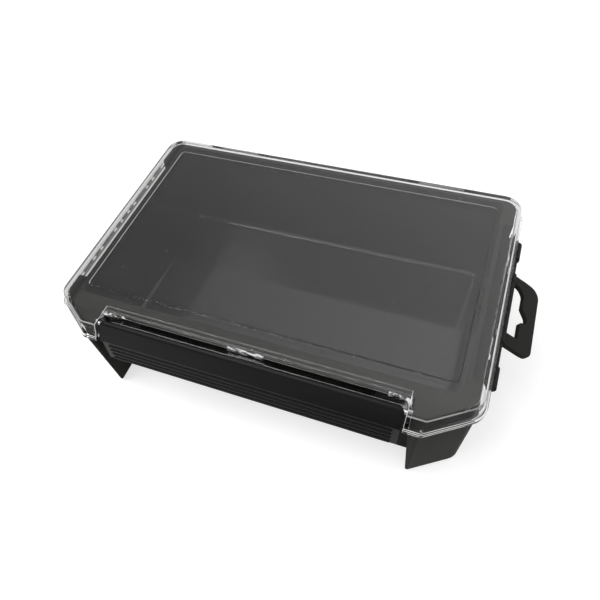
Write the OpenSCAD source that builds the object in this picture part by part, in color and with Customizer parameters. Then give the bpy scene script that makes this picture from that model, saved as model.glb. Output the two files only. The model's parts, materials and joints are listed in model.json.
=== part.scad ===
// Flat tackle box with a clear hinged lid, a full-width front latch and a swing-out hanger.
// Millimetres. X runs along the long side, the latch faces -Y, the underside lies on Z = 0.

/* [Case] */
// Overall width, lip to lip
case_w = 205; // [180:1:260]
// Overall depth, lip to lip
case_d = 145; // [130:1:200]
// Overall height, table to lid panel
case_h = 60; // [50:1:90]
// How far the front corners are cut off along X
corner_x = 22.5; // [18:0.5:26]
// How far the front corners are cut off along Y
corner_y = 15.7; // [12:0.1:18]
// Radius where a cut corner meets the side
side_r = 10; // [6:0.5:12]
// Radius of the back corners
back_r = 11; // [6:0.5:14]

/* [Tray] */
// Wall and floor thickness of the tray
tray_wall = 2.2; // [1.6:0.1:3]
// Set-in of the long side walls from the lip
side_in = 8.8; // [7.4:0.1:9.6]
// Set-in of the front legs from the lip at the sides
leg_side_in = 3; // [2.8:0.1:3.6]
// Set-in of the front legs from the lip at the front, where they stand on the table
leg_foot_in = 6.9; // [6:0.1:9]
// Distance from each end of the latch's notch to the front leg beside it
leg_beside = 2; // [1.6:0.1:4]
// Height of the front legs' shoulder below the lid's lip
shoulder_gap = 0.4; // [0.3:0.1:1]
// Set-in of the back wall from the lip
back_in = 4.7; // [4.6:0.1:6]
// Distance from the front lip to the tray's front wall
bay_d = 18.5; // [17:0.5:22]
// How much further from the middle the front legs stand at the table
foot_spread = 3.5; // [1:0.1:5]
// Length of the front legs along Y
front_col = 29.5; // [26:0.5:32]
// Length of the back corner columns along Y
back_col = 22.5; // [18:0.5:24]
// Height of the rim flange along the front wall
rim_h = 3; // [2:0.5:5]

/* [Lid] */
// Wall thickness of the lid
lid_wall = 2; // [1.6:0.1:2.2]
// Height of the lid's skirt
skirt_h = 8.6; // [7.6:0.2:10]
// Height of the lip along the skirt's lower edge
lip_h = 2; // [1.5:0.1:3]
// How far the lip stands proud of the skirt
lip_out = 0.8; // [0.4:0.1:1]
// How far the sides and back lean in from lip to top
lean_side = 1.4; // [1:0.1:1.6]
// How far the cut corners lean in
lean_corner = 1.4; // [0.8:0.1:2.6]
// How far the front leans in
lean_front = 2.4; // [2:0.1:3.2]
// Height of the raised stacking panel
panel_h = 0.6; // [0.3:0.1:1]
// Width of the raised panel
panel_w = 178.4; // [150:0.2:181]
// Distance from the front lip to the panel
panel_front = 23.9; // [22:0.1:30]
// Distance from the back lip to the panel
panel_back = 13.2; // [10:0.1:20]

/* [Latch] */
// Width of the notch for the latch
notch_w = 145.2; // [130:0.2:160]
// Depth of the notch from the front lip
notch_d = 11.2; // [11:0.1:13]
// Radius of the notch's inner corners
notch_r = 3.5; // [2:0.1:3.6]
// Height of the latch
latch_h = 24; // [21:0.1:26]
// Height of the lettering panel, measured upright
face_h = 8.8; // [7:0.1:10]
// Wall thickness of the latch
latch_wall = 2; // [1.6:0.1:2.4]
// Number of grip ribs
grip_count = 4; // [2:1:5]
// Spacing of the grip ribs
grip_pitch = 3.2; // [2.4:0.1:3.4]
// Radius of the latch pins
latch_pin_r = 1.1; // [0.8:0.05:1.3]
// Radius of the latch's pivot barrel and of the lid's lug inside it
latch_barrel_r = 1.9; // [1.8:0.1:2]
// Depth of the latch's pivot below its top
pivot_drop = 3.5; // [3.4:0.1:3.8]
// Width of the hook and of the catch ledge
hook_w = 112; // [60:1:120]
// Set-back of the grip from the lettering panel's lower edge
grip_in = 1; // [0.4:0.1:1.4]

/* [Hinge] */
// Distance of each hinge from the middle
hinge_x = 59; // [45:0.5:70]
// Length of each hinge
hinge_len = 36; // [24:1:44]
// Length of each of a hinge's two outer knuckles
knuckle_len = 6; // [4:0.5:8]
// Radius of the hinge knuckles
knuckle_r = 2; // [1.8:0.05:2.1]
// Radius of the hinge pins
hinge_pin_r = 0.9; // [0.7:0.05:1.1]

/* [Hanger] */
// Droop of the hanger below level, as it rests
hanger_droop = 30; // [0:1:60]
// Reach of the hanger from its rod
hanger_reach = 16.6; // [15:0.2:24]
// Width of the hanger loop along Y
hanger_w = 41.6; // [38:0.2:46]
// Thickness of the hanger loop
hanger_t = 2.4; // [1.8:0.1:3]
// Distance of the hanger behind the middle of the side
hanger_shift = 2.9; // [0:0.1:6]
// Width of the hanger's rear arm
rear_arm_w = 4.8; // [4:0.1:6]
// Width of the hanger's front arm
front_arm_w = 6.6; // [4:0.1:8]
// Radius of the hanger rod
rod_r = 1.5; // [1.2:0.1:1.8]
// Wall round the hanger rod
rod_wall = 0.8; // [0.8:0.1:1.2]
// Distance from the front leg to the hanger's bracket
bracket_front_in = 3.7; // [1:0.1:8]
// Distance from the back column to the hanger's bracket
bracket_back_in = 1.7; // [1:0.1:6]

/* [Hidden] */
$fn = 48;

// Clearances
run_gap = 0.05;      // shaft in a bore, radial
part_gap = 0.4;      // between pieces that move past each other
seat_gap = 0.3;      // lid over the tray's rim
catch_gap = 0.5;     // hook under its ledge
over = 1;            // how far a cut runs past a face
eps = 0.01;

// Levels and edges of the case
half_w = case_w / 2;
front_y = -case_d / 2;
back_y = case_d / 2;
plate_z = case_h - panel_h;
plate_under = plate_z - lid_wall;
skirt_z = plate_z - skirt_h;
rim_z = plate_under - seat_gap;
edge_bevel = 0.5;

// Plan of the case, anticlockwise from the front left, and its corner radii
CASE = [[-half_w + corner_x, front_y], [half_w - corner_x, front_y], [half_w, front_y + corner_y],
        [half_w, back_y], [-half_w, back_y], [-half_w, front_y + corner_y]];
nose_r = 3;
least_r = 0.5;
arc_steps = 7;

// Tray
bay_y = front_y + bay_d;
side_x = half_w - side_in;
tray_back = back_y - back_in;
front_col_y = front_y + front_col;
back_col_y = back_y - back_col;
inner_r = 4;
cove = 1.5;
rim_y = front_y + notch_d + lid_wall + seat_gap;
rim_front = 12.5;
rim_side = lip_out + lean_side + lid_wall + seat_gap;
rim_corner = lip_out + lean_corner + lid_wall + seat_gap;
shoulder_z = skirt_z - shoulder_gap;
leg_gap = notch_w / 2 + leg_beside;
foot_gap = leg_gap + foot_spread;
leg_foot_corner = leg_foot_in - 0.9;
leg_top_in = 0.9;
leg_top_corner = leg_top_in + 0.3;
slab_t = 0.2;
foot_bevel = 1.2;
foot_bevel_h = 2;
// Ledge over the latch's hook: height above the latch's foot, reach, and thickness
catch_up = 8.9;
catch_out = 8;
ledge_end = 2;
ledge_t = 1.6;
ledge_root = 5.5;

// Lid
bevel_side = lip_out + lean_side;
bevel_corner = lip_out + lean_corner;
bevel_front = lip_out + lean_front;
notch_half = notch_w / 2;
notch_y = front_y + notch_d;
step_w = 2;
step_h = 0.5;
panel_r = 2.5;
side_mid_y = (front_col_y + back_col_y) / 2;
// Bars inside the skirt: distance from the middle of the side, and length
BARS = [[0, 5], [7.2, 4], [18.1, 11.5], [28.9, 4.4], [38.6, 8.4]];
bar_h = 1.2;
bar_out = 0.5;
bar_z = skirt_z + 3.6;

// Latch, drawn in the Y-Z plane
latch_end_gap = 1;
latch_drop = 0.6;
latch_in = 0.9;
face_top_in = 1.4;
latch_half = notch_half - latch_end_gap;
latch_top = plate_z - latch_drop;
pivot_z = latch_top - pivot_drop;
pivot_y = notch_y - pivot_drop - part_gap;
barrel_half = notch_half - notch_r - latch_end_gap;
latch_foot = latch_top - latch_h;
latch_y = front_y + latch_in;
grip_y = latch_y + grip_in;
face_top_y = front_y + bevel_front + face_top_in;
face_foot_z = latch_top - face_h;
face_run = latch_wall * norm([face_top_y - latch_y, face_h]) / face_h;
cheek_turn = -58;
grip_h = 1.5;
grip_out = 0.7;
grip_slope = 0.3;
grip_end = 3;
grip_foot = 0.6;
end_cap = 2;
end_r = 1.8;
boss_half = 8.6;
boss_side = boss_half + part_gap;
pin_grip = 11;
catch_z = latch_foot + catch_up;
catch_y = bay_y - catch_out;
hook_reach = 2.4;
hook_h = 2.4;
hook_root_h = 3.4;

// Hinge
hinge_in = 0.2;
hinge_y = back_y - knuckle_r - hinge_in;
hinge_z = skirt_z - knuckle_r - part_gap;
web_t = 1.8;
web_root = 0.5;

// Hanger
barrel_r = rod_r + rod_wall;
rod_out = 0.2;
rod_x = half_w + rod_out;
rod_z = skirt_z - barrel_r - part_gap;
hanger_y = side_mid_y + hanger_shift;
bracket_t = 2;
bracket_drop = 3;
bracket_low = 0.3;
bracket_y0 = front_col_y + bracket_front_in;
bracket_y1 = back_col_y - bracket_back_in;
bracket_foot = rod_z - barrel_r - bracket_drop;
bracket_top = rod_z + barrel_r - bracket_low;
lug_w = 11;
tab_w = 10;
tab_h = 5;
tab_head = 0.8;
arm_out = hanger_w / 2;
front_arm = -arm_out + front_arm_w;
rear_arm = arm_out - rear_arm_w;
ARMS = [[-arm_out, front_arm], [rear_arm, arm_out]];
front_loop_r = 4;
rear_loop_r = 6;
// Window of the loop, with a seat for a hook in its far edge
window_far = hanger_reach / 2;
seat_far = window_far + 3.4;
seat_front = -4.1;
seat_slope = 0.9;
seat_deep = 0.4;
seat_rear = 4.6;
WINDOW_R = [least_r, 1.3, 0.8, 1.6, 3, 1, 5.5, least_r];

// Moves each edge of a polygon inwards by its own distance.
function inset_poly(p, d) = let (n = len(p)) [
    for (i = [0 : n - 1])
        let (a = p[(i + n - 1) % n], b = p[i], c = p[(i + 1) % n],
             u = (b - a) / norm(b - a), v = (c - b) / norm(c - b),
             du = d[(i + n - 1) % n], dv = d[i], det = u[0] * v[1] - u[1] * v[0])
        b + (v * du - u * dv) / det];

// Rounds each corner of an anticlockwise polygon with its own radius.
function round_poly(p, r) = let (n = len(p)) [
    for (i = [0 : n - 1])
        let (b = p[i], to_a = p[(i + n - 1) % n] - b, to_c = p[(i + 1) % n] - b,
             u = to_a / norm(to_a), v = to_c / norm(to_c),
             half = acos(u * v) / 2, m = b + (u + v) / norm(u + v) * r[i] / sin(half),
             start = b + u * r[i] / tan(half) - m, a0 = atan2(start[1], start[0]),
             turn = sign(u[1] * v[0] - u[0] * v[1]) * (180 - 2 * half))
        for (s = [0 : arc_steps])
            let (t = a0 + turn * s / arc_steps) m + r[i] * [cos(t), sin(t)]];

function shrink_r(r, d) = max(least_r, r - d);

// The case's plan, set in by its own distance at the front, cut corners, sides and back.
module plan(front, corner, side, back) {
    polygon(round_poly(inset_poly(CASE, [front, corner, side, back, side, corner]),
        [shrink_r(nose_r, corner), shrink_r(nose_r, corner), shrink_r(side_r, side),
         shrink_r(back_r, back), shrink_r(back_r, back), shrink_r(side_r, side)]));
}

module plan_slab(z, h, front, corner, side, back) {
    translate([0, 0, z]) linear_extrude(h) plan(front, corner, side, back);
}

module rounded_rect(x0, y0, x1, y1, r) {
    polygon(round_poly([[x0, y0], [x1, y0], [x1, y1], [x0, y1]], [r, r, r, r]));
}

// Extrudes a profile drawn in Y and Z along X, from x0 to x1.
module along_x(x0, x1) {
    translate([x0, 0, 0]) rotate([90, 0, 90]) linear_extrude(x1 - x0) children();
}

// Extrudes a profile drawn in X and Z along Y, from y0 to y1.
module along_y(y0, y1) {
    translate([0, y1, 0]) rotate([90, 0, 0]) linear_extrude(y1 - y0) children();
}

module rod_along_x(x0, x1, y, z, r) {
    translate([x0, y, z]) rotate([0, 90, 0]) cylinder(h = x1 - x0, r = r);
}

module rod_along_y(y0, y1, x, z, r) {
    translate([x, y1, z]) rotate([90, 0, 0]) cylinder(h = y1 - y0, r = r);
}

// ---- Tray ----

module tray_shell() {
    linear_extrude(rim_z)
        rounded_rect(-side_x, bay_y, side_x, tray_back, back_r - back_in);
}

module hollow_slab(z, h, d) {
    translate([0, 0, z]) linear_extrude(h)
        rounded_rect(-side_x + tray_wall + d, bay_y + tray_wall + d, side_x - tray_wall - d,
            tray_back - tray_wall - d, inner_r - d);
}

// The hollow is bevelled round the floor.
module tray_hollow() {
    hull() {
        hollow_slab(tray_wall, slab_t, cove);
        hollow_slab(tray_wall + cove, rim_z, 0);
    }
}

// The rim inside the lid, and the two columns at the back, stand out from the side walls.
module corner_columns() {
    for (s = [-1, 1]) {
        translate([0, 0, shoulder_z - eps]) linear_extrude(rim_z - shoulder_z + eps)
            intersection() {
                plan(rim_front, rim_corner, rim_side, back_in);
                translate([s > 0 ? leg_gap : -half_w, front_y])
                    square([half_w - leg_gap, front_col]);
            }
        linear_extrude(rim_z) intersection() {
            plan(rim_front, rim_corner, rim_side, back_in);
            translate([s > 0 ? side_x - back_r : -half_w, back_col_y])
                square([half_w - side_x + back_r, back_col]);
        }
    }
}

// One level of a front leg's outline, set in by d.
module leg_slab(s, z, front, corner, gap, depth, d) {
    translate([0, 0, z]) linear_extrude(slab_t) intersection() {
        plan(front + d, corner + d, leg_side_in + d, back_in);
        translate([s > 0 ? gap + d : -half_w, front_y]) square([half_w - gap - d, depth]);
    }
}

// The front legs spread towards the lid's lip.
module front_legs() {
    for (s = [-1, 1]) hull() {
        leg_slab(s, 0, leg_foot_in, leg_foot_corner, foot_gap, front_col, foot_bevel);
        leg_slab(s, foot_bevel_h, leg_foot_in, leg_foot_corner, foot_gap, front_col, 0);
        leg_slab(s, shoulder_z - slab_t, leg_top_in, leg_top_corner, leg_gap, front_col, 0);
    }
}

// They are cored from below.
module leg_cores() {
    depth = bay_d - tray_wall / 2;
    for (s = [-1, 1]) hull() {
        leg_slab(s, -slab_t, leg_foot_in, leg_foot_corner, foot_gap, depth, tray_wall);
        leg_slab(s, shoulder_z - tray_wall, leg_top_in, leg_top_corner, leg_gap, depth,
            tray_wall);
    }
}

module front_rim() {
    along_x(-leg_gap - eps, leg_gap + eps) polygon([[bay_y + eps, rim_z], [rim_y, rim_z],
        [rim_y, rim_z - rim_h / 2], [bay_y + eps, rim_z - rim_h]]);
}

module catch_ledge() {
    along_x(-hook_w / 2 - ledge_end, hook_w / 2 + ledge_end) polygon([[bay_y + eps, catch_z],
        [catch_y, catch_z], [catch_y, catch_z + ledge_t], [bay_y + eps, catch_z + ledge_root]]);
}

module body_knuckles() {
    for (s = [-1, 1], e = [-1, 1]) {
        x = s * hinge_x + e * (hinge_len - knuckle_len) / 2;
        rod_along_x(x - knuckle_len / 2, x + knuckle_len / 2, hinge_y, hinge_z, knuckle_r);
        translate([x - knuckle_len / 2, tray_back - eps, hinge_z - knuckle_r])
            cube([knuckle_len, hinge_y - tray_back + eps, knuckle_r * 2]);
    }
}

module tray() {
    color([0.13, 0.13, 0.13]) difference() {
        union() {
            difference() {
                union() {
                    tray_shell();
                    corner_columns();
                    front_legs();
                }
                leg_cores();
            }
            front_rim();
            catch_ledge();
            body_knuckles();
        }
        tray_hollow();
        for (s = [-1, 1])
            rod_along_x(s * hinge_x - hinge_len, s * hinge_x + hinge_len, hinge_y, hinge_z,
                hinge_pin_r + run_gap);
        translate([side_x - tray_wall - eps, hanger_y - tab_w / 2 - run_gap,
                   rod_z - tab_h / 2 - run_gap])
            cube([tray_wall + bracket_t, tab_w + run_gap * 2, tab_h + run_gap * 2]);
    }
}

// ---- Lid ----

module lid_outside() {
    hull() {
        plan_slab(skirt_z, lip_h, lip_out, lip_out, lip_out, lip_out);
        plan_slab(plate_z - edge_bevel - slab_t, slab_t, bevel_front, bevel_corner,
            bevel_side, bevel_side);
        plan_slab(plate_z - slab_t, slab_t, bevel_front + edge_bevel,
            bevel_corner + edge_bevel, bevel_side + edge_bevel, bevel_side + edge_bevel);
    }
    plan_slab(skirt_z, lip_h, 0, 0, 0, 0);
}

module lid_inside() {
    hull() {
        plan_slab(skirt_z - over, lip_h + over, lip_out + lid_wall, lip_out + lid_wall,
            lip_out + lid_wall, lip_out + lid_wall);
        plan_slab(plate_under - slab_t, slab_t, bevel_front + lid_wall, bevel_corner + lid_wall,
            bevel_side + lid_wall, bevel_side + lid_wall);
    }
}

module notch_box(grow, low) {
    translate([0, 0, low]) linear_extrude(case_h)
        rounded_rect(-notch_half - grow, front_y - notch_r - grow - over, notch_half + grow,
            notch_y + grow, notch_r + grow);
}

// Two shallow steps run along the plate's edge behind the latch.
module plate_steps() {
    for (i = [0, 1])
        translate([-notch_half, front_y, plate_z - step_h * (i + 1)])
            cube([notch_w, notch_d + step_w * (2 - i), case_h]);
}

module skirt_bars() {
    for (s = [-1, 1], side = [-1, 1], b = BARS)
        translate([side * (half_w - bevel_side - lid_wall + bar_out / 2) - bar_out,
                   side_mid_y + s * b[0] - b[1] / 2, bar_z])
            cube([bar_out * 2, b[1], bar_h]);
}

module lid_knuckles() {
    len = hinge_len - 2 * knuckle_len - 2 * part_gap;
    for (s = [-1, 1]) {
        x = s * hinge_x - len / 2;
        rod_along_x(x, x + len, hinge_y, hinge_z, knuckle_r);
        translate([x, hinge_y - web_t / 2, hinge_z])
            cube([len, web_t, skirt_z - hinge_z + web_root]);
    }
}

// The lug in the middle of the notch that carries the latch.
module latch_lug() {
    rod_along_x(-boss_half, boss_half, pivot_y, pivot_z, latch_barrel_r);
    translate([-boss_half, pivot_y, pivot_z - latch_barrel_r])
        cube([boss_half * 2, notch_y + lid_wall / 2 - pivot_y, latch_barrel_r - part_gap]);
}

module lid() {
    color([0.85, 0.88, 0.9, 0.4]) difference() {
        union() {
            difference() {
                lid_outside();
                difference() {
                    lid_inside();
                    notch_box(lid_wall, 0);
                }
                notch_box(0, 0);
                plate_steps();
            }
            translate([0, 0, plate_z - eps]) linear_extrude(panel_h + eps)
                rounded_rect(-panel_w / 2, front_y + panel_front, panel_w / 2,
                    back_y - panel_back, panel_r);
            skirt_bars();
            lid_knuckles();
            latch_lug();
        }
        for (s = [-1, 1])
            rod_along_x(s * hinge_x - hinge_len, s * hinge_x + hinge_len, hinge_y, hinge_z,
                hinge_pin_r + run_gap);
        rod_along_x(-notch_half - lid_wall - over, notch_half + lid_wall + over, pivot_y, pivot_z,
            latch_pin_r + run_gap);
    }
}

module hinge_pin(s) {
    color([0.75, 0.75, 0.76])
        rod_along_x(s * hinge_x - hinge_len / 2, s * hinge_x + hinge_len / 2, hinge_y, hinge_z,
            hinge_pin_r);
}

module hinge_pin_left() { hinge_pin(-1); }
module hinge_pin_right() { hinge_pin(1); }

// ---- Latch ----

module latch_skin() {
    polygon([[pivot_y, latch_top], [face_top_y, latch_top], [latch_y, face_foot_z],
        [grip_y, face_foot_z - grip_in], [grip_y, latch_foot], [grip_y + latch_wall, latch_foot],
        [grip_y + latch_wall, face_foot_z - grip_in],
        [face_top_y + face_run, latch_top - latch_wall],
        [pivot_y, latch_top - latch_wall]]);
}

module latch_cheek() {
    polygon([[pivot_y, latch_top], [face_top_y, latch_top], [latch_y, face_foot_z],
        [grip_y, face_foot_z - grip_in], [grip_y, latch_foot], [grip_y + latch_wall, latch_foot],
        [pivot_y, pivot_z] + latch_barrel_r * [cos(cheek_turn), sin(cheek_turn)]]);
}

module latch_grips() {
    for (i = [0 : grip_count - 1])
        along_x(-latch_half + grip_end, latch_half - grip_end)
            translate([grip_y + eps, latch_foot + grip_foot + i * grip_pitch])
                polygon([[0, 0], [-grip_out, grip_slope], [-grip_out, grip_h - grip_slope],
                    [0, grip_h]]);
}

// What is cut from the latch's two back corners, so that they follow the notch's corners.
module latch_corners() {
    r = pivot_y - face_top_y;
    for (s = [-1, 1]) mirror([s > 0 ? 0 : 1, 0, 0])
        translate([latch_half - r, face_top_y, latch_foot - over]) difference() {
            cube([r + over, notch_d, latch_h + over * 2]);
            translate([0, 0, -over]) cylinder(h = latch_h + over * 4, r = r);
        }
}

// Its top ends are rounded, to pass the notch's corners as the latch swings up.
module latch_end_cuts() {
    for (s = [-1, 1]) mirror([s > 0 ? 0 : 1, 0, 0]) difference() {
        translate([latch_half - end_r, latch_y - over, latch_top - end_r])
            cube([end_r + over, notch_d, end_r + over]);
        rod_along_y(latch_y - over * 2, latch_y + notch_d, latch_half - end_r, latch_top - end_r,
            end_r);
    }
}

module latch_hook() {
    tip = catch_y + hook_reach;
    top = catch_z - catch_gap;
    root = grip_y + latch_wall - eps;
    along_x(-hook_w / 2, hook_w / 2)
        polygon([[root, top], [tip, top], [tip, top - hook_h / 2], [root, top - hook_root_h]]);
}

module latch() {
    color([0.09, 0.09, 0.09]) difference() {
        union() {
            difference() {
                union() {
                    along_x(-latch_half, latch_half) latch_skin();
                    along_x(-latch_half, -latch_half + end_cap) latch_cheek();
                    along_x(latch_half - end_cap, latch_half) latch_cheek();
                }
                latch_corners();
                latch_end_cuts();
            }
            rod_along_x(-barrel_half, barrel_half, pivot_y, pivot_z, latch_barrel_r);
            latch_grips();
            latch_hook();
        }
        translate([-boss_side, pivot_y - latch_barrel_r - part_gap, latch_foot + face_h])
            cube([boss_side * 2, pivot_drop * 2, pivot_z + latch_barrel_r + part_gap
                  - latch_foot - face_h]);
        rod_along_x(-latch_half - over, latch_half + over, pivot_y, pivot_z,
            latch_pin_r + run_gap);
    }
}

module latch_pin(x0, x1) {
    color([0.75, 0.75, 0.76]) rod_along_x(x0, x1, pivot_y, pivot_z, latch_pin_r);
}

module latch_pin_left() {
    latch_pin(-notch_half - lid_wall, -notch_half + pin_grip);
}

module latch_pin_middle() { latch_pin(-boss_side - pin_grip, boss_side + pin_grip); }

module latch_pin_right() {
    latch_pin(notch_half - pin_grip, notch_half + lid_wall);
}

// ---- Hanger ----

module bracket_lug(y, w) {
    rod_along_y(y, y + w, rod_x, rod_z, barrel_r);
    along_y(y, y + w) polygon([[side_x + bracket_t / 2, bracket_foot],
        [rod_x, rod_z - barrel_r], [rod_x, bracket_top], [side_x + bracket_t / 2, bracket_top]]);
}

// A shelf under the lid's lip joins the bracket's lugs.
module bracket_shelf() {
    y0 = front_col_y + part_gap;
    y1 = back_col_y - part_gap;
    translate([side_x, y0, bracket_top - bracket_t])
        cube([rod_x - rod_r - part_gap - side_x, y1 - y0, bracket_t]);
    translate([side_x, y0, bracket_foot]) cube([bracket_t, y1 - y0, bracket_top - bracket_foot]);
}

// Room for the loop's two arms to turn.
module arm_slots() {
    for (arm = ARMS)
        translate([rod_x - barrel_r - part_gap, hanger_y + arm[0] - part_gap, bracket_foot])
            cube([barrel_r * 3, arm[1] - arm[0] + part_gap * 2,
                  bracket_top - bracket_foot + over]);
}

module hanger_bracket() {
    color([0.12, 0.12, 0.12]) difference() {
        union() {
            bracket_shelf();
            bracket_lug(bracket_y0, lug_w);
            bracket_lug(bracket_y1 - lug_w, lug_w);
            bracket_lug(hanger_y + front_arm + part_gap, rear_arm - front_arm - part_gap * 2);
            translate([side_x - tray_wall, hanger_y - tab_w / 2, rod_z - tab_h / 2])
                cube([tray_wall + bracket_t / 2, tab_w, tab_h]);
            translate([side_x - tray_wall - tab_head, hanger_y - tab_w / 2 - tab_head,
                       rod_z - tab_h / 2 - tab_head])
                cube([tab_head, tab_w + tab_head * 2, tab_h + tab_head * 2]);
        }
        arm_slots();
        rod_along_y(bracket_y0 - over, bracket_y1 + over, rod_x, rod_z, rod_r + run_gap);
    }
}

module hanger_rod() {
    color([0.2, 0.2, 0.2])
        rod_along_y(bracket_y0, bracket_y1, rod_x, rod_z, rod_r);
}

// The loop lies in its own X-Y plane with the rod along Y at X = 0.
module loop_plan() {
    difference() {
        polygon(round_poly([[-arm_out, -arm_out], [hanger_reach, -arm_out],
            [hanger_reach, arm_out], [-arm_out, arm_out]],
            [least_r, front_loop_r, rear_loop_r, least_r]));
        translate([-arm_out * 2, -hanger_w]) square([arm_out * 2, hanger_w * 2]);
        polygon(round_poly([[-over, front_arm], [window_far, front_arm], [window_far, seat_front],
            [seat_far, seat_front + seat_slope], [seat_far, seat_deep], [window_far, seat_rear],
            [window_far, rear_arm], [-over, rear_arm]], WINDOW_R));
    }
}

module hanger_loop() {
    color([0.12, 0.12, 0.12]) translate([rod_x, hanger_y, rod_z]) rotate([0, hanger_droop, 0])
        difference() {
            union() {
                translate([0, 0, -hanger_t / 2]) linear_extrude(hanger_t) loop_plan();
                for (arm = ARMS) rod_along_y(arm[0], arm[1], 0, 0, barrel_r);
            }
            rod_along_y(-hanger_w, hanger_w, 0, 0, rod_r + run_gap);
        }
}

tray();
lid();
latch();
hinge_pin_left();
hinge_pin_right();
latch_pin_left();
latch_pin_middle();
latch_pin_right();
hanger_bracket();
hanger_rod();
hanger_loop();
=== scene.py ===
"""Looks of a flat black tackle box with a clear hinged lid, a full-width latch and a hanger."""
import json
import math

import bmesh
import bpy
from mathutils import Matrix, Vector


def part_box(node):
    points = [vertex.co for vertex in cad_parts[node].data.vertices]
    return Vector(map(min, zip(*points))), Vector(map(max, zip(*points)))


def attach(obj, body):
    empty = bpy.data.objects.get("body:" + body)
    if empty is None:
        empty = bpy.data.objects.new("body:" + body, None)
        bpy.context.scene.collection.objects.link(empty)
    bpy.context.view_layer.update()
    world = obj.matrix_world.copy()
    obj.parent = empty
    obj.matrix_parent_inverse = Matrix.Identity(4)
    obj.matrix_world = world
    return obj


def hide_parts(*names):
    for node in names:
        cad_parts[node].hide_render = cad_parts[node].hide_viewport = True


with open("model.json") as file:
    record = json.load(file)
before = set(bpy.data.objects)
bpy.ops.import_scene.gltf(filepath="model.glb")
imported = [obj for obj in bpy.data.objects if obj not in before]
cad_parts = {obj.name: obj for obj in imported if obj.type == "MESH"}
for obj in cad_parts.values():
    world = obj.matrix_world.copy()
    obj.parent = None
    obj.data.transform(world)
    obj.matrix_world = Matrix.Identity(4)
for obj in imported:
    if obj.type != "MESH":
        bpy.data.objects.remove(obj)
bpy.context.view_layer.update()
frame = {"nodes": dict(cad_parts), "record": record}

MM = 0.001


# ---- Places on the pieces, in millimetres, measured from the nodes' boxes ----

def corners(node):
    """The lowest and the highest corner of a node at rest."""
    return [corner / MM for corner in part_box(node)]


TRAY_LOW, TRAY_HIGH = corners("tray")
LID_LOW, LID_HIGH = corners("lid")
LATCH_LOW, LATCH_HIGH = corners("latch")

# The outsides of the tray's walls, the top of its floor, and a height a little below its
# rim. The faces of its inside are at least FACE_SLACK within them.
WALL_X = LID_HIGH.x - 8.8
WALL_FRONT = LID_LOW.y + 18.5
WALL_BACK = LID_HIGH.y - 4.7
FLOOR_Z = TRAY_LOW.z + 2.2
BELOW_RIM_Z = TRAY_HIGH.z - 1.1
FACE_SLACK = 0.5

# The lid's panel, the top of its skirt, and the facet between its plate and its skirt, whose
# part painted dark as shade lies to the left of LEFT_RIM_X. PANEL_Z and PLATE_Z lie just under
# the panel's top and the plate's underside.
PANEL_LEFT = LID_LOW.x + 13.3
PANEL_BACK = LID_HIGH.y - 13.2
PANEL_Z = LID_HIGH.z - 0.5
PLATE_Z = LID_HIGH.z - 2.8
SKIRT_TOP = LID_HIGH.z - 1.4
FACET_X = LID_HIGH.x - 2.85
FACET_Z = LID_HIGH.z - 1.55
LEFT_RIM_X = LID_LOW.x + 3.65

# The lid's front corners: where they begin, and heights just over their lip and just under
# their facet
FRONT_CORNER_Y = LID_LOW.y + 20.5
LIP_Z = LID_HIGH.z - 6.8
CORNER_FACET_Z = FACET_Z - 0.4

# The Z of a face's normal: on the corners' facet it lies between two values, and on a steep
# face it is nearer to 0 than STEEP
CORNER_FACET_SLOPE = (0.4, 0.95)
STEEP = 0.5

# The latch's notch in the lid, where it is scuffed and has a painted highlight, and the lug in
# its middle
NOTCH_HALF = LATCH_HIGH.x + 1
NOTCH_BACK = LID_LOW.y + 11.2
NOTCH_END_WIDTH = 0.6
SCUFFED_Y = (NOTCH_BACK - 0.6, NOTCH_BACK + 1.4)
SCUFFED_X = (NOTCH_HALF - 9, NOTCH_HALF + 0.5)
SCUFFED_Z = LID_HIGH.z - 3.2
LUG_HALF = 8.6

# The faces of the bars inside the skirt, painted dark as shade, and the strip of painted shade
# beside the tray's left wall
BARS_X = (LID_HIGH.x - 4.55, LID_HIGH.x - 3.75)
BARS_Z = (LID_HIGH.z - 5.9, LID_HIGH.z - 4.1)
SHADE_STRIP_LEFT = -FACET_X
SHADE_STRIP_MIDDLE = LID_LOW.x + 7.7
SHADE_STRIP_RIGHT = LID_LOW.x + 10.7

# The edge along the latch's top, in front, worn pale and given a painted highlight, and how
# far the faces of a rounded edge may be from that edge
LATCH_EDGE_Y = (LATCH_LOW.y + 3.1, LATCH_LOW.y + 4.2)
EDGE_SLACK = 1


# ---- Shader maths ----

def colour(*rgb):
    return (*rgb, 1)


def grey(level):
    return colour(level, level, level)


class Wire:
    """A shader socket. Arithmetic on it adds Math nodes to its tree."""

    def __init__(self, tree, socket):
        self.tree, self.socket = tree, socket

    def _math(self, operation, first, second):
        return self.tree.node("ShaderNodeMath", {"operation": operation}, {0: first, 1: second})

    def __add__(self, other):
        return self._math("ADD", self, other)

    def __radd__(self, other):
        return self._math("ADD", other, self)

    def __sub__(self, other):
        return self._math("SUBTRACT", self, other)

    def __rsub__(self, other):
        return self._math("SUBTRACT", other, self)

    def __mul__(self, other):
        return self._math("MULTIPLY", self, other)

    def __rmul__(self, other):
        return self._math("MULTIPLY", other, self)

    def __gt__(self, other):
        return self._math("GREATER_THAN", self, other)

    def __lt__(self, other):
        return self._math("LESS_THAN", self, other)

    def __abs__(self):
        return self._math("ABSOLUTE", self, 0)

    def larger(self, *others):
        """The largest of this and other values."""
        result = self
        for other in others:
            result = self._math("MAXIMUM", result, other)
        return result

    def within(self, low, high):
        """1 between two values and 0 outside them."""
        return (self > low) * (self < high)

    def output(self, name):
        """Another output of the node that this one comes from."""
        return Wire(self.tree, self.socket.node.outputs[name])


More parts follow.
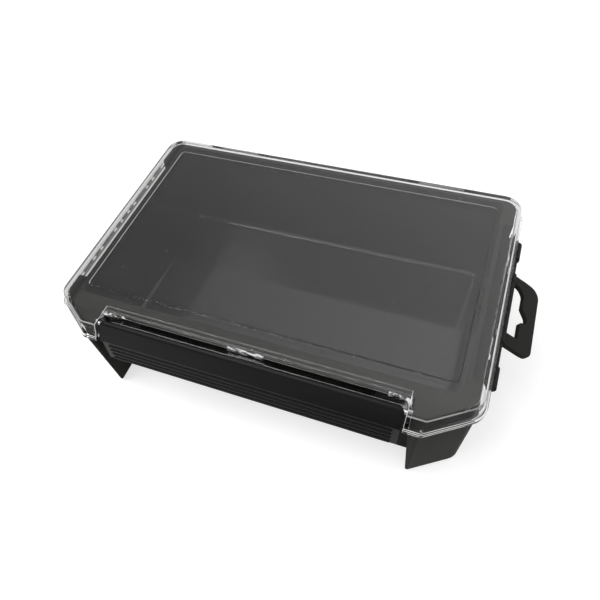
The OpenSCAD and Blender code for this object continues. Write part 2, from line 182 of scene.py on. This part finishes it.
class Tree:
    """The node tree of a material or of the world."""

    def __init__(self, owner, output):
        owner.use_nodes = True
        self.nodes = owner.node_tree.nodes
        self.links = owner.node_tree.links
        self.nodes.clear()
        self.output = self.nodes.new(output)

    def node(self, kind, settings=None, sockets=None, output=0):
        """Adds a node: its settings first, then the values or links of its sockets.

        A ramp's stops are its two places, each with a level.
        """
        made = self.nodes.new(kind)
        for name, value in (settings or {}).items():
            if name == "stops":
                for stop, (place, level) in zip(made.color_ramp.elements, value):
                    stop.position, stop.color = place, grey(level)
            else:
                setattr(made, name, value)
        for name, value in (sockets or {}).items():
            if isinstance(value, Wire):
                self.links.new(value.socket, made.inputs[name])
            else:
                made.inputs[name].default_value = value
        return Wire(self, made.outputs[output])

    def place(self, stretch=(1, 1, 1), turn=0.0):
        """Where the point is on its own piece, in millimetres.

        The pattern that it places is drawn out by a stretch under 1 and turned about Z.
        """
        here = self.node("ShaderNodeTexCoord", output="Object")
        scale = tuple(s / MM for s in stretch)
        return self.node("ShaderNodeMapping", {},
                         {"Vector": here, "Rotation": (0, 0, turn), "Scale": scale})

    def spot(self):
        """The X, Y and Z of the point on its own piece, in millimetres."""
        here = self.node("ShaderNodeSeparateXYZ", {}, {"Vector": self.place()})
        return [here.output(axis) for axis in "XYZ"]

    def noise(self, size, detail, stretch=(1, 1, 1), turn=0.0, rough=0.5):
        """Noise from 0 to 1 whose blotches are about size millimetres across."""
        return self.node("ShaderNodeTexNoise", {}, {
            "Vector": self.place(stretch, turn), "Scale": 1 / size, "Detail": detail,
            "Roughness": rough})

    def specks(self, spacing, radius, share):
        """Round specks of a radius in millimetres, in a share of the cells."""
        distance = self.node("ShaderNodeTexVoronoi", {}, {
            "Vector": self.place(), "Scale": 1 / spacing, "Randomness": 1.0}, output="Distance")
        cell = self.node("ShaderNodeSeparateColor", {}, {"Color": distance.output("Color")})
        return (distance < radius / spacing) * (cell < share)

    def ramp(self, value, start, end, low=0.0, high=1.0):
        """A level that goes from low to high as a value goes from start to end."""
        return self.node("ShaderNodeValToRGB", {"stops": ((start, low), (end, high))},
                         {"Fac": value})

    def blend(self, factor, first, second):
        """A colour between two."""
        return self.node("ShaderNodeMix", {"data_type": "RGBA"},
                         {"Factor": factor, "A": first, "B": second}, output=2)

    def bump(self, height, depth):
        """A bump of a depth in millimetres."""
        return self.node("ShaderNodeBump", {},
                         {"Height": height, "Distance": depth * MM, "Strength": 1.0})

    def surface(self, shader):
        self.links.new(shader.socket, self.output.inputs["Surface"])

    def depth(self, shader):
        self.links.new(shader.socket, self.output.inputs["Volume"])


def new_material(name):
    material = bpy.data.materials.new(name)
    return material, Tree(material, "ShaderNodeOutputMaterial")


# ---- Black plastic: sizes in millimetres, angles in radians ----

FLOW_SIZE = 14
FLOW_ROUGHNESS = 0.1
SCRATCH_SIZE = 1.2
SCRATCH_STRETCH = (0.12, 1, 1)
SCRATCH_TURN = 0.5
SCUFF_RANGE = (0.6, 0.72)
SCUFF_TINT = 0.5
SCUFF_ROUGHNESS = 0.06


def moulded_plastic(name, shade, scuff_shade, roughness, grain, depth, specular, detail=3):
    """Moulded black plastic with a grain of a size and depth, flow marks and light scuffs."""
    material, tree = new_material(name)
    flow = tree.noise(FLOW_SIZE, detail=3)
    fine = tree.noise(grain, detail=detail)
    scratches = tree.noise(SCRATCH_SIZE, detail=4, stretch=SCRATCH_STRETCH, turn=SCRATCH_TURN,
                           rough=0.65)
    scuffs = tree.ramp(scratches, *SCUFF_RANGE)
    tint = tree.blend(scuffs * SCUFF_TINT * flow, colour(*shade), colour(*scuff_shade))
    rough = roughness - FLOW_ROUGHNESS / 2 + flow * FLOW_ROUGHNESS + scuffs * SCUFF_ROUGHNESS
    tree.surface(tree.node("ShaderNodeBsdfPrincipled", {}, {
        "Base Color": tint, "Roughness": rough, "Specular IOR Level": specular,
        "Normal": tree.bump(fine, depth)}))
    return material


# ---- Clear plastic: sizes in millimetres, angles in radians ----

WAVE_SIZE, WAVE_DEPTH = 30, 0.02
HAIR_SIZE, HAIR_STRETCH, HAIR_TURN = 0.9, (0.05, 1, 1), 0.35
HAIR_RANGE = (0.7, 0.76)
HAIR_ROUGHNESS = 0.1
DUST_SPACING, DUST_RADIUS, DUST_SHARE = 13, 0.3, 0.5
RUB_SIZE, RUB_STRETCH = 1.4, (0.3, 1, 1)
RUB_RANGE = (0.48, 0.6)
STREAK_SIZE, STREAK_STRETCH = 3, (0.4, 0.4, 1)

# How much of the surface each mark covers, from 0 to 1, and what the streaks add. The scuffs
# are partly, the glint and frost wholly a painted highlight; the left rim and bars are painted
# shade
DUST_COVER = 0.4
HAIR_COVER = 0.1
SCUFF_AND_HIGHLIGHT_COVER = 0.75
LEFT_RIM_SHADE_COVER = 0.75
BARS_SHADE_COVER = 0.6
PAINTED_GLINT_COVER, PAINTED_GLINT_STREAKS = 0.45, 0.8
FROST_HIGHLIGHT_COVER, FROST_HIGHLIGHT_STREAKS = 0.55, 0.6

# The colours of the surface, of its strip of painted shade and of its places painted dark as
# shade, of what passes through into the shadow, and of the depth of the plastic
CLEAR = (0.97, 0.972, 0.972)
SHADE_STRIP_TINT = (0.5, 0.485, 0.485)
PAINTED_SHADE_GREY = 0.05
SHADOW_SHADE = 0.9
DEPTH_TINT = (0.3, 0.28, 0.28)
DEPTH_DENSITY = 60.0

MARKS_AND_PAINT_ROUGHNESS = 0.5


def notch_scuffs_and_highlights(tree, x, y, z):
    """Scuffs and painted highlights on the notch's back edge, at its ends and on its middle lug.
    """
    rubbed_and_highlit = tree.ramp(tree.noise(RUB_SIZE, detail=4, stretch=RUB_STRETCH, rough=0.7), *RUB_RANGE)
    notch_edge = y.within(*SCUFFED_Y) * (z > SCUFFED_Z)
    lug = abs(x) < LUG_HALF
    return rubbed_and_highlit * notch_edge * lug.larger(abs(x).within(*SCUFFED_X))


def left_painted_shade(x, z):
    """How much painted shade the plate has: fully over the tray's left wall, half from there
    outwards.
    """
    half = x.within(SHADE_STRIP_LEFT, SHADE_STRIP_MIDDLE) * 0.5
    return (half + x.within(SHADE_STRIP_MIDDLE, SHADE_STRIP_RIGHT)) * (z > PLATE_Z)


def clear_plastic(name, frost_highlight=0.0, marks_and_highlight_shade=(0.8, 0.8, 0.8), bend=1.49):
    """Clear polished plastic, with dust, hair scratches, and scuffs and painted highlights at the
    notch.

    The facet at the plate's right edge has a painted highlight. The one at the left and the bars
    inside the skirt are painted dark as shade, and the plate has painted shade beside the tray's
    left wall. frost_highlight, from 0 to 1, is how much of it has a painted highlight in streaks,
    and bend is the plastic's index of refraction.
    """
    material, tree = new_material(name)
    x, y, z = tree.spot()
    hairs = tree.noise(HAIR_SIZE, detail=3, stretch=HAIR_STRETCH, turn=HAIR_TURN, rough=0.7)
    scratches = tree.ramp(hairs, *HAIR_RANGE)
    dust = tree.specks(DUST_SPACING, DUST_RADIUS, DUST_SHARE)
    streaks = tree.noise(STREAK_SIZE, detail=3, stretch=STREAK_STRETCH)
    # A painted highlight on the facet at the plate's right edge
    right_facet_highlight = (x > FACET_X) * (z > FACET_Z)
    # Painted shade: the left rim and the bars inside the skirt take a dark colour
    left_rim_shade = (x < LEFT_RIM_X) * (z > FACET_Z)
    bars_shade = abs(x).within(*BARS_X) * z.within(*BARS_Z)
    marks_and_painted_light = (dust * DUST_COVER).larger(
        scratches * HAIR_COVER, notch_scuffs_and_highlights(tree, x, y, z) * SCUFF_AND_HIGHLIGHT_COVER,
        right_facet_highlight * (streaks * PAINTED_GLINT_STREAKS + PAINTED_GLINT_COVER),
        left_rim_shade * LEFT_RIM_SHADE_COVER, bars_shade * BARS_SHADE_COVER)
    # Pale frosted streaks that paint a highlight on the chosen edges and facets
    if frost_highlight:
        marks_and_painted_light = marks_and_painted_light.larger((streaks * FROST_HIGHLIGHT_STREAKS + FROST_HIGHLIGHT_COVER) * frost_highlight)
    # The glass's colour takes the painted shade beside the tray's left wall
    glass = tree.node("ShaderNodeBsdfPrincipled", {}, {
        "Base Color": tree.blend(left_painted_shade(x, z), colour(*CLEAR), colour(*SHADE_STRIP_TINT)),
        "Roughness": scratches * HAIR_ROUGHNESS, "Transmission Weight": 1.0, "IOR": bend,
        "Normal": tree.bump(tree.noise(WAVE_SIZE, detail=1), WAVE_DEPTH)})
    # The marks' colour, which is painted dark as shade on the left rim and the bars
    marks_and_painted_light_shader = tree.node("ShaderNodeBsdfPrincipled", {}, {
        "Base Color": tree.blend(left_rim_shade.larger(bars_shade), colour(*marks_and_highlight_shade), grey(PAINTED_SHADE_GREY)),
        "Roughness": MARKS_AND_PAINT_ROUGHNESS})
    # Dust, hairs and scuffs, mixed with painted highlights and painted shade
    worn_and_painted_light = tree.node("ShaderNodeMixShader", {}, {0: marks_and_painted_light, 1: glass, 2: marks_and_painted_light_shader})
    shadow_ray = tree.node("ShaderNodeLightPath", output="Is Shadow Ray")
    through = tree.node("ShaderNodeBsdfTransparent", {}, {"Color": grey(SHADOW_SHADE)})
    tree.surface(tree.node("ShaderNodeMixShader", {}, {0: shadow_ray, 1: worn_and_painted_light, 2: through}))
    tree.depth(tree.node("ShaderNodeVolumeAbsorption", {},
                         {"Color": colour(*DEPTH_TINT), "Density": DEPTH_DENSITY}))
    return material


# ---- Steel: sizes in millimetres ----

LINE_SIZE, LINE_STRETCH, LINE_DEPTH = 0.25, (0.05, 1, 1), 0.01
STEEL_DARK, STEEL_PALE = (0.5, 0.5, 0.51), (0.68, 0.68, 0.69)
STEEL_ROUGHNESS, LINE_ROUGHNESS = 0.22, 0.16


def drawn_steel(name):
    """Drawn wire with marks along its length."""
    material, tree = new_material(name)
    lines = tree.noise(LINE_SIZE, detail=3, stretch=LINE_STRETCH)
    tree.surface(tree.node("ShaderNodeBsdfPrincipled", {}, {
        "Base Color": tree.blend(lines, colour(*STEEL_DARK), colour(*STEEL_PALE)),
        "Metallic": 1.0, "Roughness": STEEL_ROUGHNESS + lines * LINE_ROUGHNESS,
        "Normal": tree.bump(lines, LINE_DEPTH)}))
    return material


# ---- Materials ----

TRAY_OUTSIDE = moulded_plastic(
    "tray_outside", shade=(0.021, 0.0204, 0.0188), scuff_shade=(0.05, 0.05, 0.048),
    roughness=0.55, grain=0.35, depth=0.012, specular=0.03)
TRAY_INSIDE = moulded_plastic(
    "tray_inside", shade=(0.012, 0.012, 0.0125), scuff_shade=(0.035, 0.035, 0.035),
    roughness=0.1, grain=12, depth=0.002, specular=0.7, detail=0)
LATCH = moulded_plastic(
    "latch_satin", shade=(0.0055, 0.0055, 0.0056), scuff_shade=(0.026, 0.026, 0.026),
    roughness=0.4, grain=0.3, depth=0.008, specular=0.12)
# A pale worn edge along the latch's top, which is also a painted highlight
LATCH_WORN_HIGHLIGHT_EDGE = moulded_plastic(
    "latch_worn_and_highlight_edge", shade=(0.09, 0.09, 0.09), scuff_shade=(0.22, 0.22, 0.22),
    roughness=0.36, grain=0.3, depth=0.008, specular=0.3)
HANGER = moulded_plastic(
    "hanger_grain", shade=(0.02, 0.0197, 0.0185), scuff_shade=(0.05, 0.05, 0.048),
    roughness=0.55, grain=0.3, depth=0.02, specular=0.04)
LID = clear_plastic("lid_clear")
LID_SKIRT = clear_plastic("lid_skirt", bend=1.22)
# Painted highlight: pale frosted streaks on the panel's left and back edges, the lip's front
# corners and the notch's ends
LID_HIGHLIGHT_EDGE = clear_plastic("lid_painted_highlight_edge", frost_highlight=1.0, marks_and_highlight_shade=(0.9, 0.9, 0.89))
# Painted highlight: pale frosted streaks on the facets of the lid's front corners
LID_CORNER_HIGHLIGHT = clear_plastic("lid_corner_painted_highlight", frost_highlight=0.4, marks_and_highlight_shade=(0.7, 0.7, 0.69))
STEEL = drawn_steel("pin_steel")


# ---- Rounding of moulded edges: lengths in millimetres, angles in degrees ----

MERGE_REACH = 0.02
FLAT_ANGLE = 0.3
SHARP_ANGLE = 24
SMOOTH_ANGLE = 50
ROUNDING_STEPS = 2

# How many radii long an edge has to be
EDGE_ROOM = 1.2


def has_room(edge, reach):
    """Whether an edge and those that meet it are long enough to be rounded."""
    return all(other.calc_length() > reach * EDGE_ROOM * MM
               for end in edge.verts for other in end.link_edges)


def round_edges(form, rounded, radius, chosen=None):
    """Rounds the sharp edges that pass a test, and marks their faces in the layer rounded."""
    sharp = [edge for edge in form.edges
             if len(edge.link_faces) == 2
             and edge.calc_face_angle(0) > math.radians(SHARP_ANGLE)
             and (chosen is None or chosen(edge)) and has_room(edge, radius)
             and not any(face[rounded] for face in edge.link_faces)]
    made = bmesh.ops.bevel(form, geom=sharp, offset=radius * MM, offset_type="OFFSET",
                           segments=ROUNDING_STEPS, profile=0.5, affect="EDGES",
                           clamp_overlap=False)
    for face in made["faces"]:
        face[rounded] = 1


def softened(node, radius, finishes, rims=(), wide=None, wide_radius=0):
    """A copy of a node with its moulded edges rounded, which stands for the node.

    finishes are materials with a test on a face's middle and normal, the last with none.
    rims are the same for the faces of the rounded edges alone, and come first. The edges
    that pass the test wide are rounded first, to wide_radius.
    """
    form = bmesh.new()
    form.from_mesh(frame["nodes"][node].data)
    bmesh.ops.remove_doubles(form, verts=form.verts, dist=MERGE_REACH * MM)
    bmesh.ops.dissolve_limit(form, angle_limit=math.radians(FLAT_ANGLE), verts=form.verts,
                             edges=form.edges)
    rounded = form.faces.layers.int.new("rounded")
    if wide:
        round_edges(form, rounded, wide_radius, wide)
    round_edges(form, rounded, radius)

    mesh = bpy.data.meshes.new(node + "_moulded")
    choices = [*rims, *finishes]
    for material, _ in choices:
        mesh.materials.append(material)
    for face in form.faces:
        middle = face.calc_center_median() / MM
        face.material_index = next(
            i for i, (_, test) in enumerate(choices)
            if (face[rounded] or i >= len(rims)) and (test is None or test(middle, face.normal)))
        face.smooth = True
    form.to_mesh(mesh)
    form.free()

    piece = bpy.data.objects.new(node + "_moulded", mesh)
    bpy.context.scene.collection.objects.link(piece)
    weighted = piece.modifiers.new("even_shading", "WEIGHTED_NORMAL")
    weighted.keep_sharp = True
    mesh.set_sharp_from_angle(angle=math.radians(SMOOTH_ANGLE))
    body = next(name for name, nodes in frame["record"]["behaviour"]["bodies"].items()
                if node in nodes)
    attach(piece, body)
    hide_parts(node)


# ---- Which faces get which finish ----

def is_inside(middle, normal):
    """Whether a face of the tray is part of its polished inside."""
    return (abs(middle.x) < WALL_X - FACE_SLACK
            and WALL_FRONT + FACE_SLACK < middle.y < WALL_BACK - FACE_SLACK
            and FLOOR_Z - FACE_SLACK < middle.z < BELOW_RIM_Z)


def is_highlight_edge(middle, normal):
    """Whether a rounded edge of the lid gets a painted highlight.

    Those are the panel's left and back, the lip's front corners and the notch's ends.
    """
    panel = middle.z > PANEL_Z and (middle.x < PANEL_LEFT + EDGE_SLACK
                                    or middle.y > PANEL_BACK - EDGE_SLACK)
    front_lip = middle.y < FRONT_CORNER_Y and middle.z < LIP_Z
    notch_end = abs(abs(middle.x) - NOTCH_HALF) < NOTCH_END_WIDTH and middle.y < NOTCH_BACK
    return panel or front_lip or notch_end


def is_corner_facet(middle, normal):
    """Whether a face is the narrow slope above the skirt at a front corner."""
    least, most = CORNER_FACET_SLOPE
    return least < normal.z < most and middle.z > CORNER_FACET_Z and middle.y < FRONT_CORNER_Y


def is_quiet_edge(middle, normal):
    """Whether a rounded edge of the lid is one of the panel's, where it has no painted highlight.
    """
    return middle.z > PANEL_Z


def is_skirt(middle, normal):
    """Whether a face of the lid is part of its steep skirt."""
    return middle.z < SKIRT_TOP and abs(normal.z) < STEEP


def is_panel_edge(edge):
    """Whether an edge of the lid is one round the top of its raised panel."""
    return all(end.co.z / MM > PANEL_Z for end in edge.verts)


def is_latch_edge(middle, normal):
    """Whether a rounded edge is the one along the latch's top, in front."""
    return (middle.z > LATCH_HIGH.z - EDGE_SLACK
            and LATCH_EDGE_Y[0] < middle.y < LATCH_EDGE_Y[1])


# ---- Pieces, with the radius of their edges in millimetres ----

softened("tray", 0.3, [(TRAY_INSIDE, is_inside), (TRAY_OUTSIDE, None)])
softened("lid", 0.15,
         [(LID_CORNER_HIGHLIGHT, is_corner_facet), (LID_SKIRT, is_skirt), (LID, None)],
         rims=[(LID_HIGHLIGHT_EDGE, is_highlight_edge), (LID_SKIRT, is_quiet_edge)],
         wide=is_panel_edge, wide_radius=0.4)
softened("latch", 0.25, [(LATCH, None)], rims=[(LATCH_WORN_HIGHLIGHT_EDGE, is_latch_edge)])
softened("hanger_bracket", 0.25, [(HANGER, None)])
softened("hanger_loop", 0.3, [(HANGER, None)])
softened("hanger_rod", 0.2, [(HANGER, None)])
for pin in ("hinge_pin_left", "hinge_pin_right", "latch_pin_left", "latch_pin_middle",
            "latch_pin_right"):
    softened(pin, 0.15, [(STEEL, None)])


# ---- Studio, in metres unless said ----

FLOOR_REACH = 4.0
FLOOR_DROP = 0.0002
FLOOR_GREYS = (0.46, 0.48)
FLOOR_GLOW = 0.66
MOTTLE_SIZE_MM = 300

# Where the floor, as the object mirrors it, gets a painted shade, between two shares of a
# span: to the right of the span's left end, and in front of the object's middle
SHADED_SPAN_MM = 200
SHADED_ACROSS = (0.0, 0.8)
SHADED_IN_FRONT = (0.42, 0.56)
SHADED_MOST = 0.92

# The world's plain level, and what the object mirrors of it: the level at the left, the
# shares of the way from left to right between which it brightens, and the heights between
# which the bright band over the horizon ends
AMBIENT = 0.7
DIM_LEFT = 0.4
DIM_ACROSS = (0.2, 0.55)
BAND_TOP = (0.1, 0.3)

# The camera, from points of the box matched to the photograph
CAMERA_PLACE = (0.07216, -0.17905, 0.26090)
CAMERA_TURN_DEGREES = (35.6784, 4.9783, 21.5493)
CAMERA_LENS_MM = 33.544
CAMERA_SENSOR_MM = 36.0
CAMERA_SHIFT = (0.06903, 0.05682)
CAMERA_CLIP = (0.01, 50.0)


def seen_rays(tree):
    """1 for the rays that show the backdrop: the camera's, and those mirrored or refracted."""
    camera = tree.node("ShaderNodeLightPath", output="Is Camera Ray")
    return camera.larger(camera.output("Is Glossy Ray"), camera.output("Is Transmission Ray"))


def studio_floor():
    """A pale floor, white to the camera, that keeps the object's soft shadow.

    Mirrored in the object, it is dimmer in front of its right side, as in the photo.
    """
    mesh = bpy.data.meshes.new("studio_floor")
    reach = FLOOR_REACH
    ends = [(-reach, -reach, 0), (reach, -reach, 0), (reach, reach, 0), (-reach, reach, 0)]
    mesh.from_pydata(ends, [], [(0, 1, 2, 3)])
    material, tree = new_material("studio_white")
    x, y, _ = tree.spot()
    # Painted shade on the floor, seen only in what the object mirrors
    mirrored = tree.node("ShaderNodeLightPath", output="Is Glossy Ray")
    across = tree.ramp(x * (1 / SHADED_SPAN_MM) + 0.5, *SHADED_ACROSS, high=SHADED_MOST)
    in_front = tree.ramp(y * (-1 / SHADED_SPAN_MM), *SHADED_IN_FRONT)
    mirrored_painted_shade = mirrored * across * in_front
    mottle = tree.noise(MOTTLE_SIZE_MM, detail=2)
    pale = tree.blend(mottle, *(grey(level) for level in FLOOR_GREYS))
    tree.surface(tree.node("ShaderNodeBsdfPrincipled", {}, {
        "Base Color": tree.blend(mirrored_painted_shade, pale, grey(0)),
        "Roughness": 0.9, "Specular IOR Level": 0.0, "Emission Color": grey(1),
        "Emission Strength": seen_rays(tree) * (1 - mirrored_painted_shade) * FLOOR_GLOW}))
    mesh.materials.append(material)
    floor = bpy.data.objects.new("studio_floor", mesh)
    floor.location.z = -FLOOR_DROP
    bpy.context.scene.collection.objects.link(floor)


def studio_world():
    """A studio that is white to the camera. What the object mirrors is dimmer at the left."""
    world = bpy.data.worlds.new("studio_world")
    bpy.context.scene.world = world
    tree = Tree(world, "ShaderNodeOutputWorld")
    direction = tree.node("ShaderNodeTexCoord", output="Generated")
    sideways = tree.node("ShaderNodeSeparateXYZ", {}, {"Vector": direction}, output="X")
    side = tree.ramp(sideways * 0.5 + 0.5, *DIM_ACROSS, low=DIM_LEFT)
    band = tree.ramp(sideways.output("Z"), *BAND_TOP, low=1.0, high=0.0)
    backdrop = side.larger(band)
    camera = tree.node("ShaderNodeLightPath", output="Is Camera Ray")
    around = AMBIENT + seen_rays(tree) * (backdrop - AMBIENT)
    tree.surface(tree.node("ShaderNodeBackground", {}, {
        "Color": grey(1), "Strength": around + camera * (1 - around)}))


def soft_lamp(name, place, aim, size, watts):
    """A square lamp at a place, turned towards a point."""
    light = bpy.data.lights.new(name, "AREA")
    light.shape, light.size, light.energy = "SQUARE", size, watts
    lamp = bpy.data.objects.new(name, light)
    lamp.location = place
    lamp.rotation_euler = (Vector(aim) - Vector(place)).to_track_quat("-Z", "Y").to_euler()
    bpy.context.scene.collection.objects.link(lamp)


def photo_camera():
    """The camera of the photograph."""
    camera_data = bpy.data.cameras.new("photo_camera")
    camera_data.sensor_width = CAMERA_SENSOR_MM
    camera_data.lens = CAMERA_LENS_MM
    camera_data.shift_x, camera_data.shift_y = CAMERA_SHIFT
    camera_data.clip_start, camera_data.clip_end = CAMERA_CLIP
    camera = bpy.data.objects.new("photo_camera", camera_data)
    camera.location = CAMERA_PLACE
    camera.rotation_euler = tuple(math.radians(angle) for angle in CAMERA_TURN_DEGREES)
    bpy.context.scene.collection.objects.link(camera)
    bpy.context.scene.camera = camera


studio_floor()
studio_world()
soft_lamp("overhead_softbox", place=(-0.5, -0.35, 1.3), aim=(0, 0, 0), size=0.9, watts=14)
photo_camera()
bpy.context.scene.view_settings.view_transform = "Standard"
